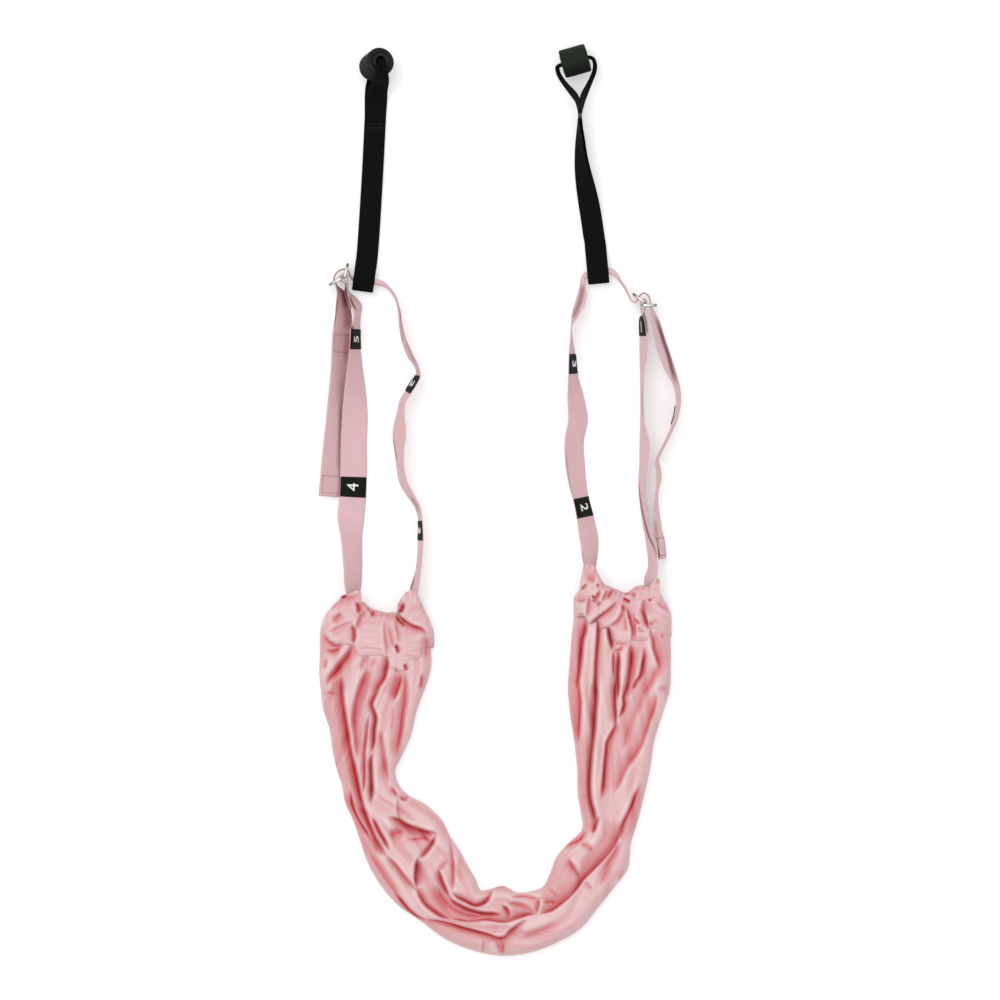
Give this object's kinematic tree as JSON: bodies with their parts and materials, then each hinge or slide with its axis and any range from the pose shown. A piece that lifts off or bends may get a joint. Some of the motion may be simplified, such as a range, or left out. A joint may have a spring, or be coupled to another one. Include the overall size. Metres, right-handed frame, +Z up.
{
  "type": "yoga rope sling",
  "caption": "Gathered satin yoga sling hung from adjustable webbing loops, with D-rings, length tags and foam-roll door anchors.",
  "frame": {"origin": "on the surface that the sling lies on, under the middle of its bounding box", "axes": "+Z up off the surface, +Y from the sling's seat towards the door anchors, +X to the right seen from above"},
  "size_m": [0.508, 1.2762, 0.0557],
  "materials": {
    "webbing": "woven, slightly glossy",
    "anchor": "woven, matt",
    "foam": "closed-cell foam, matt",
    "core": "matt",
    "steel": "bright nickel plate",
    "label": "woven, matt",
    "satin": "satin"
  },
  "bodies": {
    "sling": {"sling_panel": "satin", "left_gathered_casing": "satin", "right_gathered_casing": "satin"},
    "left_strap": {"left_adjustable_strap": "webbing", "left_length_tag_1": "label", "left_length_tag_2": "label", "left_length_tag_3": "label", "left_length_tag_4": "label"},
    "left_anchor": {"left_door_anchor_webbing": "anchor"},
    "left_roll": {"left_foam_sleeve": "foam", "left_core_tube": "core"},
    "left_inner_ring": {"left_inner_d_ring": "steel"},
    "left_outer_ring": {"left_outer_d_ring": "steel"},
    "right_strap": {"right_adjustable_strap": "webbing", "right_length_tag_1": "label", "right_length_tag_2": "label", "right_length_tag_3": "label", "right_length_tag_4": "label"},
    "right_anchor": {"right_door_anchor_webbing": "anchor"},
    "right_roll": {"right_foam_sleeve": "foam", "right_core_tube": "core"},
    "right_inner_ring": {"right_inner_d_ring": "steel"},
    "right_outer_ring": {"right_outer_d_ring": "steel"}
  },
  "joints": [
    {"name": "left_strap_swing", "type": "hinge", "parent": "sling", "child": "left_strap", "pos_m": [-0.165, -0.1631, 0.014], "axis": [1, 0, 0], "range_deg": [0, 90]},
    {"name": "right_strap_swing", "type": "hinge", "parent": "sling", "child": "right_strap", "pos_m": [0.1685, -0.1491, 0.014], "axis": [1, 0, 0], "range_deg": [0, 90]},
    {"name": "left_anchor_swing", "type": "hinge", "parent": "left_strap", "child": "left_anchor", "pos_m": [-0.1906, 0.3072, 0.0077], "axis": [0.9915, -0.1301, 0], "range_deg": [0, 100]},
    {"name": "right_anchor_swing", "type": "hinge", "parent": "right_strap", "child": "right_anchor", "pos_m": [0.137, 0.318, 0.0077], "axis": [0.9839, 0.179, 0], "range_deg": [0, 100]},
    {"name": "left_roll_spin", "type": "hinge", "parent": "left_anchor", "child": "left_roll", "pos_m": [-0.1729, 0.609, 0.0257], "axis": [0.3321, 0.2581, 0.9073], "continuous": true},
    {"name": "right_roll_spin", "type": "hinge", "parent": "right_anchor", "child": "right_roll", "pos_m": [0.105, 0.6139, 0.0202], "axis": [0.9629, 0.27, 0], "continuous": true},
    {"name": "left_inner_ring_turn", "type": "hinge", "parent": "left_strap", "child": "left_inner_ring", "pos_m": [-0.2175, 0.3118, 0.0246], "axis": [0, 0, 1], "range_deg": [-12, 25]},
    {"name": "left_outer_ring_turn", "type": "hinge", "parent": "left_strap", "child": "left_outer_ring", "pos_m": [-0.2221, 0.3098, 0.0246], "axis": [0, 0, 1], "range_deg": [-30, 10]},
    {"name": "right_inner_ring_turn", "type": "hinge", "parent": "right_strap", "child": "right_inner_ring", "pos_m": [0.2016, 0.2765, 0.0246], "axis": [0, 0, 1], "range_deg": [-30, 8]},
    {"name": "right_outer_ring_turn", "type": "hinge", "parent": "right_strap", "child": "right_outer_ring", "pos_m": [0.2002, 0.2719, 0.0246], "axis": [0, 0, 1], "range_deg": [-5, 25]}
  ]
}
